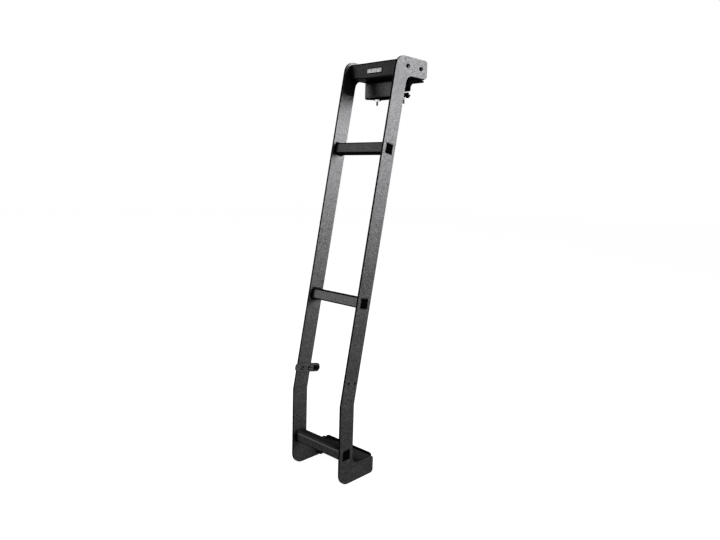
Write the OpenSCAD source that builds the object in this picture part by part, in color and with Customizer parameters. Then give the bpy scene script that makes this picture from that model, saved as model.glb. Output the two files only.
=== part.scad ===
// Vehicle ladder: two laser-cut side plates with hook arms and feet, three square rungs,
// a folded channel across the top, a formed hanging bracket and a foot crossmember.
// Millimetres, +Z up, +Y towards the vehicle, +X to the right.
// The origin is on the bare lower part of the hanging bracket's rear face, which rests on the vehicle.

/* [Overall] */
// Width over the two side plates
ladder_w = 195; // [175:1:240]
// Height from the sole of the feet to the top of the hook arms
ladder_h = 1165; // [1100:1:1260]
// Lean of the rails towards the vehicle, in degrees
lean = 11; // [6:0.5:14]

/* [Side plates] */
// Thickness of a side plate
plate_t = 6; // [4:0.5:10]
// Width of the leg, the rail, the hook arm and the foot
plate_w = 50; // [42:1:60]
// Height of the bend between leg and rail, on the front edge
bend_z = 229; // [190:1:260]
// Reach of the hook arm behind the front edge of the rail
arm_reach = 130; // [115:1:160]
// Length of the foot from the front of the leg
foot_l = 137; // [125:1:170]
// Radius of the heel and of the top front corner
corner_r = 35; // [20:1:40]
// Radius of the inside corners at the arm and the foot
inside_r = 25; // [10:1:30]
// Radius of the ends of the arm and the foot
tip_r = 9; // [4:1:14]

/* [Rungs] */
// Side of the square rung tube
rung_side = 30; // [24:1:36]
// Wall of the rung tube
rung_wall = 2; // [1.5:0.5:3]
// Outside corner radius of the rung tube
rung_r = 3; // [2:0.5:4]
// Height of the bottom rung's axis above the sole
rung_z = 86; // [80:1:110]
// Vertical spacing of the rungs
rung_pitch = 415; // [380:1:440]
// Gap between a rung and its hole in the plate, filled by the weld
weld_gap = 0.2; // [0.1:0.05:0.4]
// Distance an end plug stands proud of the plate
plug_proud = 1; // [0:0.25:2]
// Depth of an end plug
plug_depth = 14; // [8:1:25]
// Wall of an end plug
plug_wall = 2.5; // [1.5:0.5:4]

/* [Top channel] */
// Distance of the channel's front face behind the front edge of the leg
channel_y = 197; // [190:1:210]
// Height of the channel's front face
channel_h = 43; // [38:1:48]
// Depth of the channel from front to back
channel_d = 112; // [100:1:120]
// Thickness of the channel sheet
channel_t = 3; // [2:0.5:4]
// Outside radius of the channel's bends
channel_r = 5; // [4:0.5:8]

/* [Hook bolts] */
// Diameter of the bolts through the hook arms
bolt_d = 6; // [5:1:8]
// Distance of the rear bolt from the end of the arm
bolt_end = 29; // [24:1:36]
// Distance between the two bolts of an arm
bolt_pitch = 58; // [40:1:64]
// Clearance of a bolt in its hole, on the diameter
bolt_clear = 0.6; // [0.3:0.1:1]

/* [Hanging bracket] */
// Distance of the bracket's front face behind the front edge of the leg
bracket_y = 252; // [245:1:258]
// Width of the bracket
bracket_w = 166; // [150:1:168]
// Thickness of the bracket plate
bracket_t = 4; // [3:0.5:6]
// Height of the bracket from its sole to the channel
bracket_h = 49; // [44:1:60]
// Length of the top flange behind the bracket's front face
bracket_top_l = 64; // [50:1:66]
// Length of the bottom flange behind the bracket's front face
bracket_low_l = 38; // [32:1:44]
// Width of the bottom flange at its rear edge
bracket_low_w = 104; // [92:1:120]
// Inside radius of the top bend
bracket_top_r = 2; // [1:0.5:2.5]
// Inside radius of the bottom bend
bracket_low_r = 3; // [2:1:6]
// Height of the relief slot above the bottom flange
slot_h = 5.5; // [4:0.5:8]
// Length of the relief slot
slot_l = 28; // [15:1:31]
// Distance by which the web ends short of the bracket's right end below the slot
slot_end = 5; // [2:0.5:8]
// Height of the middle of the bare resting face above the bracket's sole
rest_up = 15; // [13:0.5:17]
// Radius of the rubber lining's hollow
lining_r = 25; // [15:1:25]
// Thickness of the rubber lining at its thin ends
lining_t = 1.5; // [1:0.5:3]
// Thickness of the rubber lining above its hollow
lining_mid = 5.5; // [4:0.5:7]
// Depth of the shallow seat that the lining has in the web
lining_seat = 0.5; // [0.25:0.25:1.5]

/* [Clamp studs] */
// Diameter of the clamp studs
stud_d = 6; // [5:1:8]
// Distance between the two clamp studs
stud_pitch = 100; // [80:1:104]
// Length of a stud below the bracket
stud_below = 17; // [14:1:24]
// Span of a wing nut across its wings
wing_span = 27; // [24:1:32]
// Thickness of the wings
wing_t = 3; // [2:0.5:4]

/* [Bumper strip] */
// Width of the strip
strip_w = 25; // [20:1:30]
// Thickness of the strip
strip_t = 5; // [3:0.5:6]
// Length of the strip
strip_l = 93; // [85:1:110]
// Overhang of the strip in front of the rail
strip_front = 11; // [8:1:16]
// Height at which the line of the strip's screws crosses the rail's front edge
strip_z = 291; // [280:1:340]
// Distance of the strip's axis above the line of its screws
strip_up = 2; // [0:0.5:4]
// Distance of the screws' middle behind the rail's front edge
screw_u = 27.5; // [24:0.5:28]
// Distance between the two screws
screw_pitch = 26; // [20:1:30]
// Diameter of the screw holes
screw_d = 6.5; // [4:0.5:7]
// Length of the rubber bumper
bumper_l = 18; // [16:1:30]
// Height of the rubber bumper
bumper_h = 13; // [10:1:18]
// Thickness of the rubber bumper
bumper_t = 5; // [3:0.5:12]
// Distance of the bumper from the end of the strip
bumper_back = 3.5; // [2:0.5:8]

/* [Foot crossmember] */
// Height of the flange's upper face above the sole
flange_z = 11; // [9:1:20]
// Thickness of the crossmember sheet
sheet_t = 3; // [2:0.5:4]
// Height of the rear upright above the sole
upright_z = 53; // [46:1:60]
// Distance of the upright's rear face from the end of the feet
upright_inset = 1; // [0:0.5:6]
// Front edge of the flange behind the front edge of the leg
flange_y = 112; // [106:1:120]
// Front edge of the ears behind the front edge of the leg
ear_y = 94; // [80:1:100]
// Width of an ear
ear_w = 17; // [10:1:30]
// Height of an ear's upturned side
ear_h = 12; // [6:1:24]
// Overall thickness of the rubber edge trim
trim_t = 6; // [5:0.5:8]
// Height of the rubber edge trim
trim_h = 5.5; // [5:0.5:12]

/* [Hidden] */
$fn = 48;

// Clearance between pieces that stand face to face across a fitted gap
fit = 0.2;
// Small overlap that keeps cuts and blends clear of shared faces
over = 1;
black_coat = [0.08, 0.08, 0.09];
black_plastic = [0.03, 0.03, 0.03];
stainless = [0.75, 0.75, 0.76];

inner_x = ladder_w / 2 - plate_t;
top_front_y = (ladder_h - bend_z) * tan(lean);
arm_end_y = top_front_y + arm_reach;
arm_z = ladder_h - plate_w;
arm_mid_z = ladder_h - plate_w / 2;
rail_run = plate_w / cos(lean);
rear_bend_z = bend_z - plate_w * tan(lean / 2);
bolt_r = bolt_d / 2;
hole_r = (bolt_d + bolt_clear) / 2;
bolt_rear_y = arm_end_y - bolt_end;
bolt_front_y = bolt_rear_y - bolt_pitch;
channel_z = arm_z - over;
channel_w = 2 * inner_x - 2 * fit;
web_y = bracket_y + bracket_t;
sole_z = channel_z - bracket_h;
mount_z = sole_z + rest_up;
lining_z = channel_z - bracket_t;
lining_c = [web_y + lining_r, lining_z - lining_mid - lining_r];
lining_low_z = lining_c[1] + sqrt(pow(lining_r, 2) - pow(lining_r - lining_t, 2));
lining_corner = bracket_top_r * 1.5;
stud_y = bracket_y + bracket_low_l / 2;
stud_r = stud_d / 2;
plug_side = rung_side - 2 * rung_wall - fit;
upright_y = foot_l - upright_inset;

// Point on the rail at a height z, a distance u behind the front edge, square to the rail
function rail_point(z, u) =
    [(z - bend_z) * tan(lean) + u * cos(lean), z - u * sin(lean)];

// Axis of each rung in the side view, with its tilt
function rung_centre(i) =
    let (z = rung_z + i * rung_pitch, u = plate_w / 2)
    z < bend_z
        ? [u, z, 0]
        : [(z + u * sin(lean) - bend_z) * tan(lean) + u * cos(lean), z, lean];

// Unit vector from one point to another
function toward(a, b) = (b - a) / norm(b - a);

// Puts a side-view shape upright: drawing x becomes Y, drawing y becomes Z
module upright(x, t) {
    translate([x, 0, 0]) rotate([90, 0, 90]) linear_extrude(t) children();
}

// Moves everything from the drawing datum to the mounting face
module datum() {
    translate([0, -web_y, -mount_z]) children();
}

// Rounded square with true arcs
module round_square(side, r) {
    square([side - 2 * r, side], center = true);
    square([side, side - 2 * r], center = true);
    for (i = [-1, 1], j = [-1, 1])
        translate([i * (side / 2 - r), j * (side / 2 - r)]) circle(r);
}

// For a corner at v with edges towards a and b: half its angle, and the two points
// and the centre of an arc of radius r that touches both edges
function half_angle(a, v, b) = acos(toward(v, a) * toward(v, b)) / 2;
function touch(a, v, b, r) = let (run = r / tan(half_angle(a, v, b))) [v + toward(v, a) * run, v + toward(v, b) * run];
function arc_centre(a, v, b, r) = v + toward([0, 0], toward(v, a) + toward(v, b)) * r / sin(half_angle(a, v, b));

// The waste outside the arc of an outer corner
module corner_waste(a, v, b, r) {
    c = arc_centre(a, v, b, r);
    p = touch(a, v, b, r);
    difference() {
        polygon([
            c, p[0] + toward(c, p[0]) * over,
            v + toward(c, v) * 2 * over, p[1] + toward(c, p[1]) * over
        ]);
        translate(c) circle(r);
    }
}

// Corners of the side plate's outline before rounding, clockwise from the sole
heel = [0, 0];
front_bend = [0, bend_z];
top_front = [top_front_y, ladder_h];
arm_top = [arm_end_y, ladder_h];
arm_low = [arm_end_y, arm_z];
arm_inside = [(arm_z - bend_z) * tan(lean) + rail_run, arm_z];
rear_bend = [plate_w, rear_bend_z];
foot_inside = [plate_w, plate_w];
foot_top = [foot_l, plate_w];
foot_low = [foot_l, 0];

module plate_outline() {
    under_arm = touch(arm_low, arm_inside, rear_bend, inside_r);
    over_foot = touch(rear_bend, foot_inside, foot_top, inside_r);
    difference() {
        polygon([
            heel, front_bend, top_front, arm_top, arm_low, under_arm[0], under_arm[1],
            rear_bend, over_foot[0], over_foot[1], foot_top, foot_low
        ]);
        translate(arc_centre(arm_low, arm_inside, rear_bend, inside_r)) circle(inside_r);
        translate(arc_centre(rear_bend, foot_inside, foot_top, inside_r)) circle(inside_r);
        corner_waste(foot_low, heel, front_bend, corner_r);
        corner_waste(front_bend, top_front, arm_top, corner_r);
        corner_waste(top_front, arm_top, arm_low, tip_r);
        corner_waste(arm_top, arm_low, arm_inside, tip_r);
        corner_waste(foot_inside, foot_top, foot_low, tip_r);
        corner_waste(foot_top, foot_low, heel, tip_r);
    }
}

// One screw hole centre of the bumper strip, k = -1 in front and 1 behind
function screw_point(k) = rail_point(strip_z, screw_u + k * screw_pitch / 2);

module side_plate(x) {
    color(black_coat) datum() upright(x, plate_t) difference() {
        plate_outline();
        for (i = [0 : 2])
            translate([rung_centre(i)[0], rung_centre(i)[1]]) rotate(-rung_centre(i)[2])
                round_square(rung_side + 2 * weld_gap, rung_r + weld_gap);
        for (y = [bolt_front_y, bolt_rear_y]) translate([y, arm_mid_z]) circle(hole_r);
        for (k = [-1, 1]) translate(screw_point(k)) circle(screw_d / 2);
    }
}

module rung(i) {
    p = rung_centre(i);
    color(black_coat) datum() upright(-ladder_w / 2, ladder_w)
        translate([p[0], p[1]]) rotate(-p[2]) difference() {
            round_square(rung_side, rung_r);
            round_square(rung_side - 2 * rung_wall, rung_r - rung_wall / 2);
        }
}

// End plug, a cup whose closed end stands a little proud of the plate; side -1 left, 1 right
module plug(i, side) {
    p = rung_centre(i);
    corner = rung_r - rung_wall / 2;
    out = ladder_w / 2 + plug_proud;
    x = side > 0 ? out - plug_depth : -out;
    cup_x = side > 0 ? x - over : x + plug_wall;
    color(black_plastic) datum() difference() {
        upright(x, plug_depth) translate([p[0], p[1]]) rotate(-p[2]) round_square(plug_side, corner);
        upright(cup_x, plug_depth - plug_wall + over) translate([p[0], p[1]]) rotate(-p[2])
            square(plug_side - 2 * plug_wall, center = true);
    }
}

// Front view of the folded channel's section, open at the rear
module channel_section(inset) {
    d = channel_d - inset;
    h = channel_h - 2 * inset;
    r = max(channel_r - inset, over);
    translate([channel_y + inset, channel_z + inset]) {
        translate([r, 0]) square([d - r, h]);
        translate([0, r]) square([d, h - 2 * r]);
        for (z = [r, h - r]) translate([r, z]) circle(r);
    }
}

module top_channel() {
    color(black_coat) datum() difference() {
        upright(-channel_w / 2, channel_w) channel_section(0);
        upright(-channel_w / 2 - over, channel_w + 2 * over) {
            channel_section(channel_t);
            translate([channel_y + channel_d - 2 * over, channel_z + channel_t])
                square([4 * over, channel_h - 2 * channel_t]);
        }
    }
}

// Plate welded inside an end of the channel, tapped for the hook bolts
module channel_end(side) {
    x = side > 0 ? channel_w / 2 - channel_t : -channel_w / 2;
    color(black_coat) datum() upright(x, channel_t) difference() {
        intersection() {
            channel_section(channel_t + fit);
            translate([channel_y, channel_z]) square([channel_d - fit, channel_h]);
        }
        for (y = [bolt_front_y, bolt_rear_y]) translate([y, arm_mid_z]) circle(hole_r);
    }
}

// Button-head bolt with a hexagon socket and a nut inside the channel end
module hook_bolt(side, y) {
    head_r = bolt_d * 0.875;
    head_h = bolt_d * 0.55;
    dome_r = (head_r * head_r + head_h * head_h) / (2 * head_h) + over / 4;
    nut_h = bolt_d * 0.8;
    grip = plate_t + fit + channel_t;
    color(black_coat) datum() translate([side * ladder_w / 2, y, arm_mid_z])
        rotate([0, side * 90, 0]) {
            difference() {
                rotate_extrude() intersection() {
                    translate([0, head_h - dome_r]) circle(dome_r);
                    square([head_r, head_h]);
                }
                translate([0, 0, head_h * 0.35]) cylinder(h = head_h, r = bolt_d * 0.34, $fn = 6);
            }
            translate([0, 0, -grip - nut_h - over]) cylinder(h = grip + nut_h + over, r = bolt_r);
            translate([0, 0, -grip - nut_h]) cylinder(h = nut_h, r = bolt_d * 0.95, $fn = 6);
        }
}

// Side view of the bracket: top flange, web and bottom flange, with a bend between them
module bracket_section() {
    top_z = channel_z;
    low_in = bracket_low_r;
    top_in = bracket_top_r;
    top_c = [web_y + top_in, top_z - bracket_t - top_in];
    low_c = [web_y + low_in, sole_z + bracket_t + low_in];
    translate([top_c[0], top_z - bracket_t]) square([bracket_y + bracket_top_l - top_c[0], bracket_t]);
    translate([bracket_y, low_c[1]]) square([bracket_t, top_c[1] - low_c[1]]);
    translate([low_c[0], sole_z]) square([bracket_y + bracket_low_l - low_c[0], bracket_t]);
    bend(top_c, top_in, [-1, 1]);
    bend(low_c, low_in, [-1, -1]);
}

// Quarter of a ring about c, on the side that q points to
module bend(c, r, q) {
    big = r + bracket_t;
    intersection() {
        translate(c) difference() {
            circle(big);
            circle(r);
        }
        translate([c[0] + min(0, q[0] * big), c[1] + min(0, q[1] * big)]) square(big);
    }
}

module hanging_bracket() {
    half = bracket_w / 2;
    low_half = bracket_low_w / 2;
    low_y = bracket_y + bracket_low_l;
    bend_y = web_y + bracket_low_r;
    color(black_coat) datum() difference() {
        upright(-half, bracket_w) bracket_section();
        // Tapered ends of the bottom flange
        for (side = [-1, 1]) translate([0, 0, sole_z - over]) linear_extrude(bracket_t + 2 * over)
            polygon([
                [side * (half + over), bend_y], [side * half, bend_y],
                [side * low_half, low_y], [side * low_half, low_y + over],
                [side * (half + over), low_y + over]
            ]);
        // Relief slot at the right end of the bottom bend
        translate([half - slot_l, bracket_y - over, sole_z + bracket_t + bracket_low_r])
            cube([slot_l + over, bracket_t + 2 * over, slot_h]);
        translate([half - slot_end, bracket_y - over, sole_z - over])
            cube([slot_end + over, bracket_t + bracket_low_r + over, bracket_t + bracket_low_r + 2 * over]);
        for (side = [-1, 1]) translate([side * stud_pitch / 2, stud_y, sole_z - over])
            cylinder(h = bracket_t + 2 * over, r = hole_r);
        // Shallow seat of the rubber lining
        translate([-half - over, web_y - lining_seat, lining_low_z])
            cube([bracket_w + 2 * over, lining_seat + over, lining_z - lining_corner - lining_low_z]);
    }
}

// Rubber moulded into the corner of the bracket, with a hollow lower face
module bracket_lining() {
    seat_y = web_y - lining_seat;
    rear_y = bracket_y + bracket_top_l;
    color(black_plastic) datum() upright(-bracket_w / 2, bracket_w) difference() {
        polygon([
            [seat_y, lining_low_z], [seat_y, lining_z - lining_corner],
            [web_y, lining_z - lining_corner], [web_y + lining_corner, lining_z],
            [rear_y, lining_z], [rear_y, lining_z - lining_t],
            [lining_c[0], lining_c[1] + lining_r], [lining_c[0], lining_low_z]
        ]);
        translate(lining_c) circle(lining_r);
    }
}

// Clamp stud with its head on the bottom flange
module clamp_stud(side) {
    head_h = stud_d * 0.66;
    color(stainless) datum() translate([side * stud_pitch / 2, stud_y, sole_z]) {
        translate([0, 0, bracket_t]) cylinder(h = head_h, r = stud_d * 0.95, $fn = 6);
        translate([0, 0, -stud_below]) cylinder(h = stud_below + bracket_t, r = stud_r);
    }
}

// Wing nut with its washer, run up against the bottom flange
module wing_nut(side) {
    base_r = stud_d * 1.05;
    base_h = stud_d * 0.95;
    washer_r = stud_d * 1.3;
    washer_t = 1.6;
    wing_h = stud_d * 1.1;
    wing_r = wing_h / 2;
    color(stainless) datum() translate([side * stud_pitch / 2, stud_y, sole_z]) difference() {
        union() {
            translate([0, 0, -washer_t]) cylinder(h = washer_t, r = washer_r);
            translate([0, 0, -washer_t - base_h]) cylinder(h = base_h, r1 = base_r * 0.8, r2 = base_r);
            for (k = [-1, 1]) translate([k * (wing_span / 2 - wing_r), 0, -washer_t - base_h]) {
                rotate([90, 0, 0]) cylinder(h = wing_t, r = wing_r, center = true);
                translate([-k * wing_span / 6, 0, 0])
                    cube([wing_span / 3, wing_t, wing_h * 0.7], center = true);
            }
        }
        translate([0, 0, -3 * base_h]) cylinder(h = 4 * base_h, r = stud_r + fit / 2);
    }
}

// Draws in the strip's own direction: x square to the rail, from its front edge
module along_strip() {
    translate(rail_point(strip_z, 0)) rotate(-lean) translate([0, strip_up]) children();
}

// Strip screwed to the inner face of the left plate, round in front
module bumper_strip() {
    r = strip_w / 2;
    color(black_coat) datum() upright(-inner_x, strip_t) difference() {
        along_strip() union() {
            translate([r - strip_front, 0]) circle(r);
            translate([r - strip_front, -r]) square([strip_l - r - tip_r, strip_w]);
            translate([r - strip_front, tip_r - r]) square([strip_l - r, strip_w - 2 * tip_r]);
            for (k = [-1, 1]) translate([strip_l - strip_front - tip_r, k * (r - tip_r)]) circle(tip_r);
        }
        for (k = [-1, 1]) translate(screw_point(k)) circle(screw_d / 2);
    }
}

// Rubber pad on the inner face of the strip, near its rear end
module rubber_bumper() {
    r = bumper_h / 2;
    end = strip_l - strip_front - bumper_back;
    color(black_plastic) datum() upright(strip_t - inner_x, bumper_t) along_strip() {
        translate([end - bumper_l, -r]) square([bumper_l - r, bumper_h]);
        translate([end - r, 0]) circle(r);
    }
}

// Folded sheet that joins the two feet: a rear upright, a flange along its lower edge, and
// an ear at each end of the flange, turned up against the foot
module foot_crossmember() {
    w = 2 * inner_x - 2 * fit;
    low = flange_z - sheet_t;
    color(black_coat) datum() {
        upright(-w / 2, w) {
            translate([flange_y, low]) square([upright_y - flange_y, sheet_t]);
            translate([upright_y - sheet_t, low]) square([sheet_t, upright_z - low]);
        }
        for (side = [-1, 1]) {
            upright(side > 0 ? w / 2 - ear_w : -w / 2, ear_w)
                translate([ear_y, low]) square([flange_y - ear_y + over, sheet_t]);
            upright(side > 0 ? w / 2 - sheet_t : -w / 2, sheet_t)
                translate([ear_y, low]) square([upright_y - ear_y, ear_h]);
        }
    }
}

// Front view of a bar that stands on the datum, with round upper corners
module round_end_bar(w, top, r) {
    translate([-w / 2, 0]) square([w, top - r]);
    translate([r - w / 2, 0]) square([w - 2 * r, top]);
    for (side = [-1, 1]) translate([side * (w / 2 - r), top - r]) circle(r);
}

// Rubber edging pushed over the rear upright
module foot_edge_trim() {
    w = 2 * inner_x - 2 * fit;
    wall = (trim_t - sheet_t) / 2;
    low = upright_z + wall - trim_h;
    color(black_plastic) datum() difference() {
        translate([0, upright_y + wall, 0]) rotate([90, 0, 0]) linear_extrude(trim_t) {
            intersection() {
                round_end_bar(w, upright_z + wall, tip_r);
                translate([-w / 2, low]) square([w, trim_h]);
            }
        }
        translate([-w / 2 - over, upright_y - sheet_t, low - over])
            cube([w + 2 * over, sheet_t, trim_h - wall + over]);
    }
}

side_plate(-ladder_w / 2);  // left_side_plate
side_plate(ladder_w / 2 - plate_t);  // right_side_plate
rung(2);  // top_rung
rung(1);  // middle_rung
rung(0);  // bottom_rung
plug(2, -1);  // top_rung_left_plug
plug(2, 1);  // top_rung_right_plug
plug(1, -1);  // middle_rung_left_plug
plug(1, 1);  // middle_rung_right_plug
plug(0, -1);  // bottom_rung_left_plug
plug(0, 1);  // bottom_rung_right_plug
top_channel();
channel_end(-1);  // left_channel_end
channel_end(1);  // right_channel_end
hook_bolt(-1, bolt_front_y);  // left_front_hook_bolt
hook_bolt(-1, bolt_rear_y);  // left_rear_hook_bolt
hook_bolt(1, bolt_front_y);  // right_front_hook_bolt
hook_bolt(1, bolt_rear_y);  // right_rear_hook_bolt
hanging_bracket();
bracket_lining();
clamp_stud(-1);  // left_clamp_stud
clamp_stud(1);  // right_clamp_stud
wing_nut(-1);  // left_wing_nut
wing_nut(1);  // right_wing_nut
bumper_strip();
rubber_bumper();
foot_crossmember();
foot_edge_trim();
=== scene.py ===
"""Dresses the vehicle side ladder and sets up its studio.

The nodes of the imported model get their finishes. The badge plate, the weld beads, the
screws and bolt rims, the end guard, the foot pads and the wing nuts are new pieces.

Everything is in metres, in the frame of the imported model: +Z up, +Y towards the
vehicle, and the origin on the rear face of the hanging bracket.
"""

from math import cos, pi, radians, sin, tan

import bpy
import numpy as np
from mathutils import Matrix, Vector


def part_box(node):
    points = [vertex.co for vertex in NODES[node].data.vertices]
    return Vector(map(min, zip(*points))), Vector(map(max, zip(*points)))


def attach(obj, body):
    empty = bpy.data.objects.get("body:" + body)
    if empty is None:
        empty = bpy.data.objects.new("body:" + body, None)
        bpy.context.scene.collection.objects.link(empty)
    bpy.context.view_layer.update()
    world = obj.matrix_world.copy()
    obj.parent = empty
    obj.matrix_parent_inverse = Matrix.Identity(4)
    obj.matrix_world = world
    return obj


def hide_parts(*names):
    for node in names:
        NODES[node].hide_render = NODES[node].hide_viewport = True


bl_info = {
    "name": "Vehicle side ladder",
    "version": (1, 0, 0),
    "blender": (4, 5, 0),
    "location": "View3D > Sidebar > Ladder",
    "description": "Finishes, badge, welds, screws, guards, wing nuts and studio for a hook-on ladder",
    "category": "Object",
}

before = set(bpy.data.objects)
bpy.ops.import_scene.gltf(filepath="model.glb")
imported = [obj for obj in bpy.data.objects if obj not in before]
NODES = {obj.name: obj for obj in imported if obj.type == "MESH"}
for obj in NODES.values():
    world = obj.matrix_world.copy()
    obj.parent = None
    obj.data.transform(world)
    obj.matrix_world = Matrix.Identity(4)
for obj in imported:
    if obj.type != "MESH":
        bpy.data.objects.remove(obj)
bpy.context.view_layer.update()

# The words in the names of pieces, with the sign of X on each side
RUNGS = ("top", "middle", "bottom")
SIDES = (("left", -1), ("right", 1))

# Nodes by finish, and those whose edges are broken
COATED = ("bumper_strip", "foot_crossmember")
CHANNEL = ("top_channel", "left_channel_end", "right_channel_end")
PLUGS = tuple(f"{rung}_rung_{side}_plug" for rung in RUNGS for side, _ in SIDES)
BOLTS = tuple(f"{side}_{place}_hook_bolt" for side, _ in SIDES for place in ("front", "rear"))
STUDS = ("left_clamp_stud", "right_clamp_stud")
RUBBERS = ("bracket_lining", "rubber_bumper", "foot_edge_trim")
SOFTENED = ("left_side_plate", "right_side_plate", "top_channel", "hanging_bracket", *COATED, *RUBBERS)

# The datum of the ladder's own side drawing, in the model's frame: front of the leg, sole of the foot
DATUM_Y = -0.256
DATUM_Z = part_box("left_side_plate")[0].z

# The rails lean back above a bend
LEAN = radians(11)
BEND_Z = 0.229

# The faces of the side plates, from the ladder's middle
INNER_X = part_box("right_side_plate")[0].x
OUTER_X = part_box("right_side_plate")[1].x

# The square tube of the rungs
TUBE = 0.030
TUBE_RADIUS = 0.003

# Two screw holes in each rail: their height, and their distances behind its front edge
HOLE_Z = 0.291
HOLES_BEHIND = (0.0145, 0.0405)
HOLE_RADIUS = 0.00325


# Geometry


def side_view(y, z):
    """Moves a point of the ladder's side drawing into the model's frame."""
    return y + DATUM_Y, z + DATUM_Z


def rail_point(z, u):
    """Point u behind the rail's front edge, square to the rail, where that edge is at height z."""
    y = (z - BEND_Z) * tan(LEAN) + u * cos(LEAN)
    return side_view(y, z - u * sin(LEAN))


def rung_axis(node):
    """Middle of a rung in the side view, from its box."""
    low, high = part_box(node)
    return (low.y + high.y) / 2, (low.z + high.z) / 2


def turned(angle, middle):
    """Matrix that leans a piece about X by an angle and puts it at a middle point."""
    return Matrix.Translation(middle) @ Matrix.Rotation(-angle, 4, "X")


def along_x(side, x, y, z):
    """Matrix that points a piece's Z along +X or -X, as side is 1 or -1, and places it."""
    return Matrix.Translation((x, y, z)) @ Matrix.Rotation(side * pi / 2, 4, "Y")


def ring_indices(rows, cols):
    """Quads of a closed ring grid: rows of points, each row closed on itself."""
    i, j = np.meshgrid(np.arange(rows - 1), np.arange(cols), indexing="ij")
    k = (j + 1) % cols
    return np.stack([i * cols + j, i * cols + k, (i + 1) * cols + k, (i + 1) * cols + j], -1).reshape(-1, 4)


def tube_indices(rows, cols):
    """Quads of a grid closed both ways, as on a ring-shaped tube."""
    i, j = np.meshgrid(np.arange(rows), np.arange(cols), indexing="ij")
    n, k = (i + 1) % rows, (j + 1) % cols
    return np.stack([i * cols + j, i * cols + k, n * cols + k, n * cols + j], -1).reshape(-1, 4)


def make_piece(name, points, quads, caps=(), matrix=Matrix.Identity(4), smooth=True):
    """A mesh piece from arrays, put in place by its vertices, riding on the frame."""
    matrix = np.array(matrix)
    placed = points.reshape(-1, 3) @ matrix[:3, :3].T + matrix[:3, 3]
    faces = quads.tolist() + [list(c) for c in caps]
    mesh = bpy.data.meshes.new(name)
    mesh.from_pydata(placed.tolist(), [], faces)
    mesh.polygons.foreach_set("use_smooth", np.full(len(mesh.polygons), smooth))
    mesh.validate()
    mesh.update()
    piece = bpy.data.objects.new(name, mesh)
    bpy.context.scene.collection.objects.link(piece)
    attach(piece, "root")
    return piece


def round_rectangle(angles, width, height, radius):
    """Outline of a rectangle with round corners.

    Each corner is an arc of the radius about (w/2 - r, h/2 - r), turned through the
    angles from 0 to 90 degrees; the sides are the straight runs between the arcs.
    """
    x, y = [], []
    for sx, sy, start in ((1, 1, 0), (-1, 1, 90), (-1, -1, 180), (1, -1, 270)):
        turn = np.radians(start + angles)
        x.append(sx * (width / 2 - radius) + radius * np.cos(turn))
        y.append(sy * (height / 2 - radius) + radius * np.sin(turn))
    return np.concatenate(x), np.concatenate(y)


# Points on each round corner of a square outline
CORNER_POINTS = 7


def square_outline(side, radius, steps):
    """Points round a square with arc corners, anticlockwise, with their outward normals.

    Each corner is an arc of the radius about (s - r, s - r), and each side is the
    straight run between two arcs, cut into equal steps.
    """
    half = side / 2 - radius
    corners = [(half, half, 0), (-half, half, 90), (-half, -half, 180), (half, -half, 270)]
    points, normals = [], []
    for x, y, start in corners:
        a = np.radians(start + np.linspace(0, 90, CORNER_POINTS))
        n = np.stack([np.cos(a), np.sin(a)], -1)
        points.append(np.array([x, y]) + radius * n)
        normals.append(n)
        turn = np.array([-np.sin(np.radians(start + 90)), np.cos(np.radians(start + 90))])
        run = np.linspace(0, 2 * half, steps, endpoint=False)[1:, None]
        points.append(points[-1][-1] + run * turn)
        normals.append(np.repeat(n[-1:], steps - 1, 0))
    return np.concatenate(points), np.concatenate(normals)


def extruded(name, outline, start, end):
    """A plate whose outline (y, z) in the model's frame is carried along X from start to end."""
    outline = np.array(outline, float)
    rows = [np.column_stack([np.full(len(outline), x), outline]) for x in (start, end)]
    n = len(outline)
    caps = [range(n - 1, -1, -1), range(n, 2 * n)]
    return make_piece(name, np.array(rows), ring_indices(2, n), caps, smooth=False)


def revolved(name, profile, matrix, sides=40, hexes=(), smooth=True):
    """A turned piece: profile rows (r, h) carried round Z, rows in hexes made hexagonal.

    A point is (R(a) cos a, R(a) sin a, h). On a round row R is r; on a hexagonal row
    R is r * cos 30 / cos((a mod 60) - 30), so r is the distance across its corners / 2.
    """
    a = np.linspace(0, 2 * pi, sides, endpoint=False)
    corner = np.cos(radians(30)) / np.cos(np.mod(a, pi / 3) - pi / 6)
    r, h = np.array(profile, float).T
    hexagonal = np.isin(np.arange(len(r)), list(hexes))[:, None]
    radius = r[:, None] * np.where(hexagonal, corner[None], 1.0)
    points = np.stack([radius * np.cos(a), radius * np.sin(a), np.repeat(h[:, None], sides, 1)], -1)
    quads = ring_indices(len(r), sides)
    caps = [range(sides - 1, -1, -1), range((len(r) - 1) * sides, len(r) * sides)]
    return make_piece(name, points, quads, caps, matrix, smooth)


def revolved_ring(name, section, matrix, sides=48):
    """A ring: a closed section (r, h) carried round Z, with points (r cos a, r sin a, h)."""
    a = np.linspace(0, 2 * pi, sides, endpoint=False)[:, None]
    r, h = np.array(section, float).T[:, None]
    points = np.stack([r * np.cos(a), r * np.sin(a), np.repeat(h, sides, 0)], -1)
    return make_piece(name, points, tube_indices(sides, len(section))[:, ::-1], matrix=matrix)


# Materials


class Value:
    """One output of a node in a tree. Sums and products of values add Math nodes."""

    def __init__(self, tree, socket):
        self.tree = tree
        self.socket = socket

    def _math(self, operation, a, b):
        return self.tree.node("ShaderNodeMath", {"operation": operation}, {0: a, 1: b})

    def __add__(self, other):
        return self._math("ADD", self, other)

    def __sub__(self, other):
        return self._math("SUBTRACT", self, other)

    def __mul__(self, other):
        return self._math("MULTIPLY", self, other)

    def __rsub__(self, other):
        return self._math("SUBTRACT", other, self)

    __radd__ = __add__
    __rmul__ = __mul__


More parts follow.
